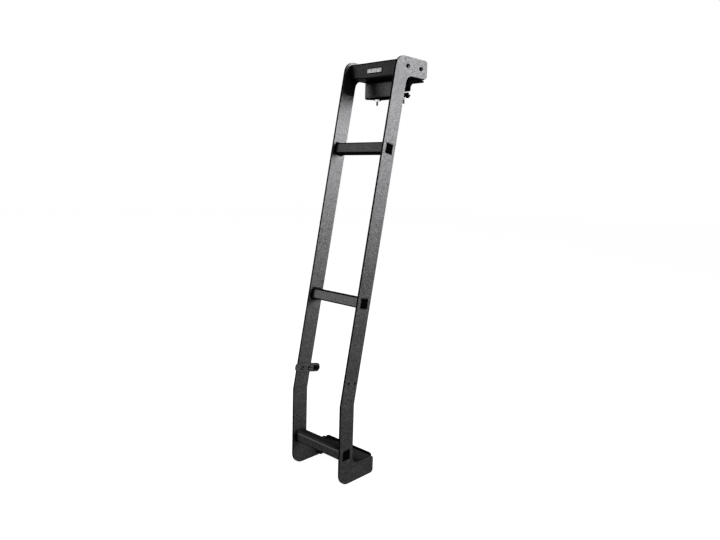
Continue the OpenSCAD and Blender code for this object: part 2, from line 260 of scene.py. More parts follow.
class Tree:
    """A node tree with a single way to add a node."""

    def __init__(self, tree):
        self.tree = tree

    def link(self, target, value):
        """Feeds a socket with a number, a colour or the output of a node."""
        if isinstance(value, Value):
            self.tree.links.new(value.socket, target)
        else:
            target.default_value = value

    def node(self, kind, settings=None, inputs=None, output=0):
        """Adds a node: its settings first, then the values or links of its sockets."""
        node = self.tree.nodes.new(kind)
        for key, value in (settings or {}).items():
            setattr(node, key, value)
        for key, value in (inputs or {}).items():
            self.link(node.inputs[key], value)
        return Value(self, node.outputs[output])


class Finish(Tree):
    """A material and its Principled shader."""

    def __init__(self, name, **sockets):
        self.material = bpy.data.materials.new(name)
        self.material.use_nodes = True
        super().__init__(self.material.node_tree)
        self.shader = self.tree.nodes["Principled BSDF"]
        for socket, value in sockets.items():
            self.set(socket.replace("_", " "), value)
        self.place = self.node("ShaderNodeTexCoord", output="Object")

    def set(self, socket, value):
        """Feeds a socket of the Principled shader with a value or a link."""
        self.link(self.shader.inputs[socket], value)

    def noise(self, scale, detail=2.0, roughness=0.5, stretch=None):
        """Noise of a scale per metre, drawn out along an axis where stretch is given."""
        place = self.place
        if stretch:
            place = self.node("ShaderNodeMapping", None, {"Vector": place, "Scale": stretch})
        return self.node(
            "ShaderNodeTexNoise", None,
            {"Vector": place, "Scale": scale, "Detail": detail, "Roughness": roughness},
        )

    def between(self, value, low, high, start=0.0, end=1.0):
        """Carries a value from start..end to low..high, held at both ends."""
        return self.node(
            "ShaderNodeMapRange", None,
            {"Value": value, "From Min": start, "From Max": end, "To Min": low, "To Max": high},
        )

    def blend(self, factor, first, second):
        """Mixes two colours by a factor."""
        return self.node(
            "ShaderNodeMix", {"data_type": "RGBA"}, {"Factor": factor, 6: first, 7: second}, output=2
        )

    def bump(self, height, distance, strength=1.0):
        """Turns a height into a bumped normal. distance is the relief's depth in metres."""
        self.set("Normal", self.node(
            "ShaderNodeBump", None, {"Height": height, "Distance": distance, "Strength": strength}
        ))


def grey(level):
    """A neutral colour."""
    return (level, level, level * 1.01, 1.0)


# The coat's metallic share, and its speckle's darkest and lightest grains as shares of its colour
COAT_METAL = 0.92
SPECKLE_RANGE = (0.72, 1.68)

# The channel's colour against the plates': a darker copy of the same coat, as painted shade
CHANNEL_SHADE = 0.42

# Colour of the painted shade on edges and in a bore, and how thick it lies on a rung's tread and edges; the
# edges' share also sets how strong the bottom rung's painted highlight is
PAINTED_SHADE = 0.0006
BORE_SHADE = 0.0002
TREAD_SHARE = 0.85
EDGE_SHARE = 0.9

# Where the bands of a rung's painted shade and of the bottom rung's painted highlight start and are full,
# as distances from its middle
TREAD = (0.0138, 0.0146)
UPPER_EDGE = (0.0105, 0.0128)
LOWER_EDGE = (0.0105, 0.0130)
HIGHLIT_RUNG_TREAD = (0.0121, 0.0129)
HIGHLIT_EDGE = (0.0076, 0.0094)

# Painted shade along the bracket's lower lip: half the height over which it fades, and the shaded strip's
# height
LIP_FADE = 0.0005
LIP_HEIGHT = 0.0035

# Where the painted shade of a cut edge starts and is full inside a plate's faces, and for which Y of the
# surface's normal. Where the painted shade of a bore is full and ends outside its wall
EDGE_FADE = (0.0003, 0.0008)
EDGE_FACING = (-0.6, -0.25)
BORE_FADE = (0.0002, 0.0007)


def from_middle(coat, rung, lean):
    """How far a point lies forward of and above a rung's middle, along the rung's own axes.

    It is the dot product of the point with each axis, less that of the middle.
    """
    y, z = rung_axis(rung)
    axes = ((0.0, -cos(lean), sin(lean)), (0.0, sin(lean), cos(lean)))
    return [
        coat.node("ShaderNodeVectorMath", {"operation": "DOT_PRODUCT"}, {0: coat.place, 1: axis}, "Value")
        - (axis[1] * y + axis[2] * z) for axis in axes
    ]


def front_edge_shade(coat):
    """Mask of the painted shade on a side plate's cut edges that face forward, between its two faces."""
    x = coat.node("ShaderNodeSeparateXYZ", None, {0: coat.place}, "X")
    side = coat.node("ShaderNodeMath", {"operation": "ABSOLUTE"}, {0: x})
    normal = coat.node("ShaderNodeNewGeometry", output="Normal")
    facing = coat.node("ShaderNodeSeparateXYZ", None, {0: normal}, "Y")
    inside = (coat.between(side, 0.0, 1.0, *(INNER_X + depth for depth in EDGE_FADE))
              * coat.between(side, 1.0, 0.0, *(OUTER_X - depth for depth in EDGE_FADE[::-1])))
    return inside * coat.between(facing, 1.0, 0.0, *EDGE_FACING)


def bore_wall(coat, y, z, radius):
    """Mask of a bore along X, where painted shade goes: the distance from its axis is under its radius."""
    flat = coat.node("ShaderNodeVectorMath", {"operation": "MULTIPLY"}, {0: coat.place, 1: (0.0, 1.0, 1.0)})
    off = coat.node("ShaderNodeVectorMath", {"operation": "DISTANCE"}, {0: flat, 1: (0.0, y, z)}, "Value")
    return coat.between(off, 1.0, 0.0, *(radius + fade for fade in BORE_FADE))


def coat_finish(props, name="black_powder_coat", depth=1.0, rung=None, lean=0.0, shine=0.0,
                edges=False, shade_below=None, bores=()):
    """Satin black powder coat: grain and orange peel in relief, speckle and clouds of dust.

    depth darkens or lightens the colour; the channel's lower depth is painted shade. Painted shade
    darkens the tread and lower edge of a rung, the forward-facing cut edges of a plate, a strip
    below the height shade_below and the walls of the bores (y, z, radius). Without shine the upper edge
    is painted shade too; with shine it is a painted highlight of that colour, and the edge is where the
    lesser of the distances forward and up is large.
    """
    coat = Finish(name, Metallic=COAT_METAL, IOR=1.5)
    coat.set("Specular IOR Level", 0.0 if rung or edges or shade_below else 0.2)
    coat.set("Specular Tint", grey(props.coat_gloss))
    grain = coat.noise(1.0 / props.grain, 3.0, 0.62)
    peel = coat.noise(0.28 / props.grain, 2.0, 0.5)
    clouds = coat.noise(14.0, 4.0, 0.6)
    wear = coat.noise(60.0, 5.0, 0.7)
    dust = coat.between(clouds * 0.7 + wear * 0.3, 0.0, 1.0, 0.42, 0.68)
    cells = coat.node("ShaderNodeTexVoronoi", None,
                      {"Vector": coat.place, "Scale": props.speckle_scale}, "Color")
    # The product turns the cells' random colours grey
    speckle = coat.between(cells * 1.0, 0.0, 1.0, 0.2, 0.8)
    low, high = (tuple(c * depth * k for c in props.coat_colour) + (1.0,) for k in SPECKLE_RANGE)
    colour = coat.blend(dust * 0.1 + speckle * 0.9, low, high)
    shade_mask = None
    # A rung's tread and lower edge get painted shade
    if rung:
        forward, up = from_middle(coat, rung, lean)
        corner = coat.node("ShaderNodeMath", {"operation": "MINIMUM"}, {0: forward, 1: up})
        shade_mask = (coat.between(up, 0.0, TREAD_SHARE, *(HIGHLIT_RUNG_TREAD if shine else TREAD))
                + coat.between(up * -1.0, 0.0, EDGE_SHARE, *LOWER_EDGE))
        # The bottom rung's upper edge gets a painted highlight in place of painted shade
        if shine:
            highlit = coat.between(corner, 0.0, EDGE_SHARE, *HIGHLIT_EDGE)
            colour = coat.blend(highlit, colour, grey(shine))
        else:
            shade_mask = shade_mask + coat.between(corner, 0.0, EDGE_SHARE, *UPPER_EDGE)
    # A plate's forward-facing cut edges get painted shade
    if edges:
        shade_mask = front_edge_shade(coat)
    # The bracket's lower lip gets painted shade
    if shade_below:
        height = coat.node("ShaderNodeSeparateXYZ", None, {0: coat.place}, "Z")
        shade_mask = coat.between(height, 1.0, 0.0, shade_below - LIP_FADE, shade_below + LIP_FADE)
    # Painted shade: the masked places turn near black and lose the coat's metallic sheen
    if shade_mask:
        colour = coat.blend(shade_mask, colour, grey(PAINTED_SHADE))
        coat.set("Metallic", coat.between(shade_mask, COAT_METAL, 0.0))
    # The bores' walls get painted shade
    for y, z, radius in bores:
        colour = coat.blend(bore_wall(coat, y, z, radius), colour, grey(BORE_SHADE))
    coat.set("Base Color", colour)
    coat.set("Roughness", coat.between(speckle * 0.5 + dust * 0.5, props.coat_roughness - 0.05,
                                       props.coat_roughness + 0.09))
    coat.bump(grain * 0.65 + peel * 0.35, props.grain * 0.4, 0.8)
    return coat.material


def weld_finish(_props):
    """Coated weld metal: rougher and darker than the plates, with a darker mottle."""
    weld = Finish("coated_weld", Metallic=0.0, IOR=1.5)
    weld.set("Specular IOR Level", 0.005)
    mottle = weld.noise(500.0, 4.0, 0.6)
    weld.set("Base Color", weld.blend(mottle, grey(0.0015), grey(0.006)))
    weld.set("Roughness", weld.between(mottle, 0.5, 0.7))
    weld.bump(mottle, 0.0002, 0.7)
    return weld.material


def bolt_finish(_props):
    """Blackened steel of the screws, nuts and bolt rims: half matt, with worn brighter patches."""
    bolt = Finish("blackened_bolt", Metallic=0.0, IOR=1.5)
    bolt.set("Specular IOR Level", 0.0)
    rub = bolt.between(bolt.noise(700.0, 4.0, 0.6), 0.0, 1.0, 0.45, 0.7)
    bolt.set("Base Color", bolt.blend(rub, grey(0.0006), grey(0.0035)))
    bolt.set("Roughness", bolt.between(rub, 0.42, 0.3))
    bolt.bump(bolt.noise(2600.0, 2.0, 0.5), 0.00004, 0.5)
    return bolt.material


def head_finish(_props):
    """Worn black of the hook bolts' heads, a little brighter than the plugs."""
    head = Finish("worn_black_steel", Metallic=0.92)
    head.set("Specular Tint", grey(0.02))
    rub = head.between(head.noise(900.0, 3.0, 0.6), 0.0, 1.0, 0.4, 0.65)
    head.set("Base Color", head.blend(rub, grey(0.0015), grey(0.005)))
    head.set("Roughness", head.between(rub, 0.5, 0.38))
    head.bump(head.noise(2600.0, 2.0, 0.5), 0.00004, 0.5)
    return head.material


def stainless_finish(props):
    """Bright stainless: fine brushing along X and a few duller patches."""
    steel = Finish("bright_stainless", Metallic=1.0)
    brush = steel.noise(900.0, 4.0, 0.6, stretch=(0.12, 1.0, 1.0))
    patch = steel.noise(160.0, 3.0, 0.5)
    steel.set("Base Color", steel.blend(patch, tuple(props.steel_colour) + (1.0,), grey(0.86)))
    steel.set("Roughness", steel.between(brush * 0.6 + patch * 0.4, 0.16, 0.34))
    steel.bump(brush, 0.00003, 0.6)
    return steel.material


def stud_finish(_props):
    """Steel of the clamp studs, darkened all over as painted shade, with a fine thread-like banding along
    Z.
    """
    stud = Finish("shaded_stud_steel", Metallic=1.0)
    bands = stud.node("ShaderNodeTexWave", {"bands_direction": "Z"},
                      {"Vector": stud.place, "Scale": 160.0, "Distortion": 0.4, "Detail": 1.0})
    stain = stud.noise(260.0, 3.0, 0.6)
    stud.set("Base Color", stud.blend(bands * 0.6 + stain * 0.4, grey(0.004), grey(0.05)))
    stud.set("Roughness", stud.between(stain, 0.3, 0.5))
    stud.bump(bands, 0.0002, 0.8)
    return stud.material


def plug_finish(_props):
    """Moulded black plastic of the end plugs: very matt, with a fine spark texture."""
    plug = Finish("moulded_black_plastic", Metallic=0.0, IOR=1.46)
    plug.set("Specular IOR Level", 0.0)
    spark = plug.noise(2200.0, 2.0, 0.5)
    haze = plug.noise(90.0, 3.0, 0.6)
    plug.set("Base Color", plug.blend(haze, grey(0.0003), grey(0.001)))
    plug.set("Roughness", plug.between(spark, 0.55, 0.72))
    plug.bump(spark, 0.00006, 0.6)
    return plug.material


def rubber_finish(_props):
    """Matt black rubber with a dusty bloom."""
    rubber = Finish("black_rubber", Metallic=0.0, IOR=1.5)
    rubber.set("Specular IOR Level", 0.0)
    skin = rubber.noise(1500.0, 3.0, 0.6)
    bloom = rubber.between(rubber.noise(120.0, 5.0, 0.65), 0.0, 1.0, 0.45, 0.72)
    rubber.set("Base Color", rubber.blend(bloom, grey(0.0006), grey(0.004)))
    rubber.set("Roughness", rubber.between(bloom, 0.6, 0.8))
    rubber.bump(skin, 0.00007, 0.6)
    return rubber.material


def badge_finish(props):
    """Bare aluminium of the badge plate, brushed along its length."""
    plate = Finish("bare_aluminium", Metallic=0.85)
    brush = plate.noise(1400.0, 4.0, 0.65, stretch=(0.04, 1.0, 1.0))
    haze = plate.between(plate.noise(150.0, 3.0, 0.6), 0.0, 1.0, 0.35, 0.65)
    plate.set("Base Color", plate.blend(haze, tuple(props.badge_colour) + (1.0,), grey(0.19)))
    plate.set("Roughness", plate.between(brush * 0.7 + haze * 0.3, 0.36, 0.55))
    plate.bump(brush, 0.00003, 0.7)
    return plate.material


HOLES = tuple((*rail_point(HOLE_Z, behind), HOLE_RADIUS) for behind in HOLES_BEHIND)

FINISHES = {
    "coat": coat_finish,
    # The bracket's coat has painted shade along its lower lip
    "bracket": lambda props: coat_finish(
        props, "bracket_coat", shade_below=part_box("hanging_bracket")[0].z + LIP_HEIGHT),
    "left_plate": lambda props: coat_finish(props, "left_plate_coat", edges=True),
    "right_plate": lambda props: coat_finish(props, "right_plate_coat", edges=True, bores=HOLES),
    # The channel's coat is darkened as painted shade
    "channel": lambda props: coat_finish(props, "channel_coat", CHANNEL_SHADE),
    "top_rung": lambda props: coat_finish(
        props, "top_rung_coat", props.rung_depth, "top_rung", LEAN),
    "middle_rung": lambda props: coat_finish(
        props, "middle_rung_coat", props.rung_depth, "middle_rung", LEAN),
    "bottom_rung": lambda props: coat_finish(
        props, "bottom_rung_coat", props.rung_depth, "bottom_rung", shine=props.edge_shine),
    "weld": weld_finish,
    "bolt": bolt_finish,
    "head": head_finish,
    "stainless": stainless_finish,
    "stud": stud_finish,
    "plug": plug_finish,
    "rubber": rubber_finish,
    "badge": badge_finish,
}

# The materials that are made, by finish
made = {}


def finish(name):
    """The material of a finish, made on its first use."""
    if name not in made:
        made[name] = FINISHES[name](bpy.context.scene.ladder_finish)
    return made[name]


def dress(piece, name):
    """Gives a piece its finish."""
    piece.data.materials.clear()
    piece.data.materials.append(finish(name))


def soften(piece, width):
    """Breaks the sharp edges of a CAD node or a sheet: joined corners, then a small bevel."""
    weld = piece.modifiers.new("joined corners", "WELD")
    weld.merge_threshold = 1e-6
    bevel = piece.modifiers.new("broken edges", "BEVEL")
    bevel.width = width
    bevel.segments = 2
    bevel.limit_method = "ANGLE"
    bevel.angle_limit = radians(35)
    bevel.harden_normals = True
    bevel.use_clamp_overlap = True


# Settings


class LadderFinish(bpy.types.PropertyGroup):
    """Colours and textures of the ladder's surfaces."""

    coat_colour: bpy.props.FloatVectorProperty(
        name="Coat colour", description="Colour of the powder coat", size=3,
        subtype="COLOR", default=(0.0225, 0.0225, 0.0230), min=0.0, max=1.0)
    coat_roughness: bpy.props.FloatProperty(
        name="Coat roughness", description="Roughness of the powder coat", default=0.42, min=0.05, max=1.0)
    coat_gloss: bpy.props.FloatProperty(
        name="Coat gloss", description="Brightness of the powder coat's reflections at a low angle",
        default=0.12, min=0.0, max=1.0)
    grain: bpy.props.FloatProperty(
        name="Grain", description="Size of the powder coat's grain", default=0.0016, unit="LENGTH",
        min=0.0003, max=0.01)
    speckle_scale: bpy.props.FloatProperty(
        name="Speckle", description="Grains of the speckle in a metre", default=460.0, min=50.0, max=2000.0)
    rung_depth: bpy.props.FloatProperty(
        name="Rung colour", description="Colour of the rungs against the plates",
        default=1.0, min=0.2, max=3.0)
    # The colour of the bottom rung's painted highlight
    edge_shine: bpy.props.FloatProperty(
        name="Edge shine", description="Colour of the bottom rung's rubbed upper edge", default=0.075,
        min=0.0, max=0.5)
    steel_colour: bpy.props.FloatVectorProperty(
        name="Stainless colour", description="Colour of the bright fasteners", size=3,
        subtype="COLOR", default=(0.72, 0.72, 0.73), min=0.0, max=1.0)
    badge_colour: bpy.props.FloatVectorProperty(
        name="Badge colour", description="Colour of the bare badge plate", size=3,
        subtype="COLOR", default=(0.064, 0.064, 0.063), min=0.0, max=1.0)
    edge: bpy.props.FloatProperty(
        name="Edge break", description="Width of the broken edges of the plates", default=0.0007,
        unit="LENGTH", min=0.0, max=0.003)


class LadderBadge(bpy.types.PropertyGroup):
    """Size and place of the badge plate."""

    width: bpy.props.FloatProperty(
        name="Width", description="Length of the badge plate", default=0.053, unit="LENGTH",
        min=0.01, max=0.12)
    height: bpy.props.FloatProperty(
        name="Height", description="Height of the badge plate", default=0.0113, unit="LENGTH",
        min=0.005, max=0.035)
    thickness: bpy.props.FloatProperty(
        name="Thickness", description="Thickness of the badge plate", default=0.0012, unit="LENGTH",
        min=0.0004, max=0.004)
    centre_x: bpy.props.FloatProperty(
        name="Place", description="Middle of the badge from the ladder's middle", default=0.0015,
        unit="LENGTH", min=-0.05, max=0.05)
    centre_z: bpy.props.FloatProperty(
        name="Height above the sole", description="Middle of the badge above the sole",
        default=1.133, unit="LENGTH", min=1.1, max=1.2)


class LadderFasteners(bpy.types.PropertyGroup):
    """Sizes of the small fasteners and welds."""

    weld_leg: bpy.props.FloatProperty(
        name="Weld leg", description="Leg of the fillet weld round a rung", default=0.0035,
        unit="LENGTH", min=0.001, max=0.008)
    weld_ripple: bpy.props.FloatProperty(
        name="Weld ripple", description="Distance between the ripples of a weld", default=0.0026,
        unit="LENGTH", min=0.001, max=0.01)
    screw_radius: bpy.props.FloatProperty(
        name="Screw head radius", description="Radius of the bumper strip's screw heads",
        default=0.0056, unit="LENGTH", min=0.003, max=0.01)
    guard: bpy.props.FloatProperty(
        name="Guard thickness", description="Thickness of the rubber guard on the bracket's end",
        default=0.001, unit="LENGTH", min=0.0005, max=0.002)
    wing_span: bpy.props.FloatProperty(
        name="Wing span", description="Span of a wing nut", default=0.027, unit="LENGTH",
        min=0.02, max=0.04)


class LadderStage(bpy.types.PropertyGroup):
    """The studio."""

    key_power: bpy.props.FloatProperty(
        name="Key light", description="Power of the light to the right and behind", default=535.0,
        subtype="POWER", min=0.0, max=2000.0)
    fill_power: bpy.props.FloatProperty(
        name="Fill light", description="Power of the light in front, to the left", default=84.0,
        subtype="POWER", min=0.0, max=2000.0)
    floor_size: bpy.props.FloatProperty(
        name="Floor size", description="Side of the square floor", default=30.0, unit="LENGTH",
        min=4.0, max=100.0)


# Operators


class LADDER_OT_finishes(bpy.types.Operator):
    """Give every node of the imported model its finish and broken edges"""

    bl_idname = "ladder.finishes"
    bl_label = "Finishes"

    def execute(self, context):
        for nodes, name in ((COATED, "coat"), (CHANNEL, "channel"), (PLUGS, "plug"), (BOLTS, "head"),
                            (STUDS, "stud"), (RUBBERS, "rubber")):
            for node in nodes:
                dress(NODES[node], name)
        dress(NODES["hanging_bracket"], "bracket")
        for side, _ in SIDES:
            dress(NODES[f"{side}_side_plate"], f"{side}_plate")
        for rung in RUNGS:
            dress(NODES[f"{rung}_rung"], f"{rung}_rung")
        for node in SOFTENED:
            soften(NODES[node], context.scene.ladder_finish.edge)
        return {"FINISHED"}


# Corners of the badge plate and of the black sheet under it that paints a shadow round it, and how much
# larger and how thick that sheet is
BADGE_RADIUS = 0.0009
SHADOW_RING_RADIUS = 0.0016
SHADOW_RING_MARGIN = 0.0044
SHADOW_RING_DEPTH = 0.0004

# The eased rim of both, and the least radius of a corner inside it
RIM = 0.0005
SHARP = 0.0001


class LADDER_OT_badge(bpy.types.Operator):
    """Make the bare badge plate on the front of the top channel, over a black sheet that paints a shadow
    round it
    """

    bl_idname = "ladder.badge"
    bl_label = "Badge plate"

    def plate(self, name, width, height, radius, bottom, top, place, material, slot):
        """A slab with round corners and an eased rim.

        Rows of the profile are outlines moved inwards by i at height h, and the outline is
        the round rectangle of that smaller size. A flat cap closes the first and last row.
        """
        rim = min(RIM, (top - bottom) * 0.5)
        corner = np.linspace(0, 90, 9)
        rows = [(0.0, bottom)]
        rows += [(rim * (1 - cos(t)), top - rim + rim * sin(t)) for t in np.linspace(0, pi / 2, 5)]
        rows += [(height * 0.3, top)]
        points = []
        for inset, h in rows:
            u, v = round_rectangle(corner, width - 2 * inset, height - 2 * inset,
                                   max(radius - inset, SHARP))
            points.append(np.stack([u, np.full_like(u, -h), v], -1))
        points = np.array(points)
        n = points.shape[1]
        caps = [range(n - 1, -1, -1), range((len(rows) - 1) * n, len(rows) * n)]
        piece = make_piece(name, points, ring_indices(len(rows), n), caps, Matrix.Translation(place))
        dress(piece, material)

    def execute(self, context):
        badge = context.scene.ladder_badge
        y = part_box("top_channel")[0].y
        z = badge.centre_z + DATUM_Z
        place = (badge.centre_x, y, z)
        # A black sheet larger than the badge: a painted shadow round the plate
        self.plate("badge_shadow_ring", badge.width + SHADOW_RING_MARGIN, badge.height + SHADOW_RING_MARGIN, SHADOW_RING_RADIUS,
                   -SHADOW_RING_DEPTH, SHADOW_RING_DEPTH, place, "rubber", "black_rubber")
        self.plate("badge_plate", badge.width, badge.height, BADGE_RADIUS,
                   0.0, badge.thickness, place, "badge", "stainless")
        return {"FINISHED"}


# A weld bead, as shares of its leg: its ripples, its three slow waves, the bulge of its face,
# and how far its root reaches into the tube and into the plate
RIPPLE = 0.07
WAVE = 0.06
BULGE = 0.22
ROOT_IN_TUBE = 0.15
ROOT_IN_PLATE = 0.12

# How far the slow waves of the two sides are shifted, in radians
WAVE_SHIFT = 40


class LADDER_OT_welds(bpy.types.Operator):
    """Make the fillet welds where the rungs enter the side plates"""

    bl_idname = "ladder.welds"
    bl_label = "Welds"

    def bead(self, name, y, z, lean, side, leg, ripple):
        """A closed bead round a square tube.

        Along the tube's outline s, the section is a triangle of leg L(s) with a bulging
        face, where L(s) = L * (1 + 0.07 sin(2 pi s / ripple) + a slow wave).
        """
        outline, normal = square_outline(TUBE, TUBE_RADIUS, 26)
        step = np.linalg.norm(np.roll(outline, -1, 0) - outline, axis=1)
        total = step.sum()
        turn = 2 * pi * np.concatenate([[0], np.cumsum(step)[:-1]]) / total
        size = leg * (1 + RIPPLE * np.sin(turn * round(total / ripple))
                      + WAVE * np.sin(turn * 3 + side * WAVE_SHIFT))
        t = np.linspace(0, 1, 7)
        bulge = 1 + BULGE * np.sin(pi * t)
        out = np.append((1 - t) * bulge, -ROOT_IN_TUBE)
        along = np.append(t * bulge, -ROOT_IN_PLATE)
        reach = out[None] * size[:, None]
        points = np.stack([
            -side * along[None] * size[:, None],
            outline[:, None, 0] + normal[:, None, 0] * reach,
            outline[:, None, 1] + normal[:, None, 1] * reach,
        ], -1)
        quads = tube_indices(len(outline), len(out))
        if side < 0:
            quads = quads[:, ::-1]
        piece = make_piece(name, points, quads, matrix=turned(lean, (side * INNER_X, y, z)))
        dress(piece, "weld")

    def execute(self, context):
        props = context.scene.ladder_fasteners
        for rung, lean in zip(RUNGS, (LEAN, LEAN, 0.0)):
            y, z = rung_axis(f"{rung}_rung")
            for word, side in SIDES:
                self.bead(f"{rung}_rung_{word}_weld", y, z, lean, side, props.weld_leg, props.weld_ripple)
        return {"FINISHED"}


# The strip's button heads: the dome's height over its radius, the angle at which its curve ends,
# the socket's top and bottom as shares of the radius there, the socket's depth, the length inside
# the strip, and how far the head's edge is sunk
DOME_HEIGHT = 0.52
DOME_END = 1.12
SOCKET_TOP = 0.92
SOCKET_BOTTOM = 0.88
SOCKET_DEPTH = 0.0014
SHANK = 0.006
SUNK = 0.00002

# How far the bright discs that paint a glint in the hook bolts' sockets stand out from the plates
BOLT_GLINT_RISE = 0.0014

# Profiles (radius, height) of turned pieces, the first a bright disc that paints a glint in a socket, and
# the closed section of a hook bolt's rim
SOCKET_GLINT = (
    (0.0003, -0.0004), (0.0012, -0.0004), (0.0012, 0.0), (0.0008, 0.0001), (0.0003, 0.00014),
)
STRIP_NUT = (
    (0.0035, 0.0), (0.0064, 0.0), (0.0066, 0.0004), (0.0066, 0.0042), (0.0060, 0.0048),
    (0.0036, 0.0048), (0.0032, 0.0066), (0.0005, 0.0069),
)
STRIP_NUT_HEXAGON = (1, 2, 3, 4)
BOLT_RIM = (
    (0.0039, 0.0004), (0.00535, -SUNK), (0.00545, 0.0001), (0.00545, 0.0024),
    (0.0051, 0.0028), (0.0045, 0.0029), (0.0040, 0.0024), (0.0036, 0.0012),
)


class LADDER_OT_screws(bpy.types.Operator):
    """Make the strip's screws and nuts, the rims of the hook bolts, and bright discs in all their sockets
    as painted glints
    """

    bl_idname = "ladder.screws"
    bl_label = "Screws and bolt rims"

    def screw(self, number, r, y, z):
        """A button head with a hexagonal socket, a bright disc in the socket as a painted glint, and the
        nut behind the plate.

        The dome's points are (r cos t, 0.52 r sin t), up to the socket's edge.
        """
        dome = [(r * cos(t), r * DOME_HEIGHT * sin(t)) for t in np.linspace(0.0, DOME_END, 9)]
        edge, top = dome[-1]
        profile = [(r * 0.5, -SHANK), (r, -SUNK), *dome, (edge * SOCKET_TOP, top),
                   (edge * SOCKET_BOTTOM, top - SOCKET_DEPTH), (0.0006, top - SOCKET_DEPTH - 0.0002)]
        n = len(profile)
        place = along_x(1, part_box("bumper_strip")[1].x, y, z)
        head = revolved(f"strip_screw_{number}", profile, place, 48, hexes=(n - 3, n - 2, n - 1))
        dress(head, "bolt")
        # A bright stainless disc in the socket: a painted glint
        floor = place @ Matrix.Translation((0, 0, top - SOCKET_DEPTH))
        bright = revolved(f"strip_screw_glint_{number}", SOCKET_GLINT, floor, 24)
        dress(bright, "stainless")
        back = along_x(-1, -OUTER_X, y, z)
        nut = revolved(f"strip_nut_{number}", STRIP_NUT, back, 48, STRIP_NUT_HEXAGON, smooth=False)
        dress(nut, "bolt")

    def execute(self, context):
        for number, behind in enumerate(HOLES_BEHIND, 1):
            self.screw(number, context.scene.ladder_fasteners.screw_radius, *rail_point(HOLE_Z, behind))
        for node in BOLTS:
            low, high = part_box(node)
            side = 1 if low.x > 0 else -1
            middle = ((low.y + high.y) / 2, (low.z + high.z) / 2)
            # A bright stainless disc in the bolt's socket: a painted glint
            floor = revolved(f"{node}_socket", SOCKET_GLINT,
                             along_x(side, side * (OUTER_X + BOLT_GLINT_RISE), *middle), 24)
            dress(floor, "stainless")
            rim = revolved_ring(f"{node}_rim", BOLT_RIM, along_x(side, side * OUTER_X, *middle))
            dress(rim, "bolt")
        return {"FINISHED"}


# The bracket's right end in the ladder's side drawing: the web's front face, the back of the
# lining on it, and the flange's rear edge, top and underside
WEB_Y = 0.252
WEB_BACK_Y = 0.2577
REAR_Y = 0.316
FLANGE_TOP_Z = 1.1137
FLANGE_UNDER_Z = 1.1084

# The outer bend from the web's top to the flange, as the corners of its two chords
WEB_TOP_Z = 1.1080
BEND_CORNERS = ((0.258, FLANGE_TOP_Z), (0.2535, 1.1120))

# The hollow of the lining: its centre, radius, and the degrees at which its arc starts and ends
HOLLOW_Y = 0.281
HOLLOW_Z = 1.0795
HOLLOW_RADIUS = 0.0248
HOLLOW_ARC = (93, 157)

# The gap between the guard's upper and lower sheets, its sole, and the lower sheet's rear corners
GAP_TOP_Z = 1.0785
GAP_BOTTOM_Z = 1.0746
SOLE_Z = 1.0648
SOLE_REAR_Y = 0.2592
SOLE_REAR = ((SOLE_REAR_Y, 1.0690), (WEB_BACK_Y, 1.0710))

# How far the front sheets reach in from the bracket's end, and how far in the lower sheet is
FRONT_REACH = 0.024
LOWER_INSET = 0.005

# The pads inside the feet: the sheet they sit on, their place in the side drawing, their profile
EAR_THICKNESS = 0.003
PAD_PLACE = (0.0992, 0.0132)
FOOT_PAD = (
    (0.0006, 0.0), (0.0050, 0.0), (0.0056, 0.0006), (0.0056, 0.0030), (0.0048, 0.0040),
    (0.0030, 0.0044), (0.0006, 0.0045),
)


class LADDER_OT_guards(bpy.types.Operator):
    """Make the black rubber guard on the bracket's right end and the pads inside the feet"""

    bl_idname = "ladder.guards"
    bl_label = "End guard and foot pads"

    def guard(self, thick):
        """Four thin sheets over the bracket's end, drawn in the side view and carried along X.

        The upper end sheet follows the web, the flange and the hollow of the lining. The
        hollow's points are (y + r cos t, z + r sin t).
        """
        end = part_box("hanging_bracket")[1].x
        front_y = WEB_Y - thick
        hollow = [(HOLLOW_Y + HOLLOW_RADIUS * cos(t), HOLLOW_Z + HOLLOW_RADIUS * sin(t))
                  for t in np.radians(np.linspace(*HOLLOW_ARC, 14))]
        upper = [(front_y, GAP_TOP_Z), (WEB_BACK_Y, GAP_TOP_Z), *hollow[::-1], (REAR_Y, FLANGE_UNDER_Z),
                 (REAR_Y, FLANGE_TOP_Z), *BEND_CORNERS, (front_y, WEB_TOP_Z)]
        lower = [(front_y, SOLE_Z), (SOLE_REAR_Y, SOLE_Z), *SOLE_REAR, (WEB_BACK_Y, GAP_BOTTOM_Z),
                 (front_y, GAP_BOTTOM_Z)]
        upper_front, lower_front = (
            [(front_y, bottom), (WEB_Y, bottom), (WEB_Y, top), (front_y, top)]
            for bottom, top in ((GAP_TOP_Z, WEB_TOP_Z), (SOLE_Z, GAP_BOTTOM_Z))
        )
        inset = end - LOWER_INSET
        for name, outline, start, stop in (
            ("bracket_guard_end", upper, end, end + thick),
            ("bracket_guard_front", upper_front, end - FRONT_REACH, end + thick * 0.5),
            ("bracket_guard_foot", lower, inset, inset + thick),
            ("bracket_guard_foot_front", lower_front, end - FRONT_REACH, inset + thick * 0.5),
        ):
            outline = [side_view(y, z) for y, z in outline]
            piece = extruded(name, outline[::-1], start, stop)
            dress(piece, "rubber")
            soften(piece, thick * 0.25)

    def execute(self, context):
        self.guard(context.scene.ladder_fasteners.guard)
        low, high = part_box("foot_crossmember")
        walls = (low.x + EAR_THICKNESS, high.x - EAR_THICKNESS)
        for (word, side), wall in zip(SIDES, walls):
            place = along_x(-side, wall, *side_view(*PAD_PLACE))
            dress(revolved(f"{word}_foot_pad", FOOT_PAD, place, 36), "rubber")
        return {"FINISHED"}


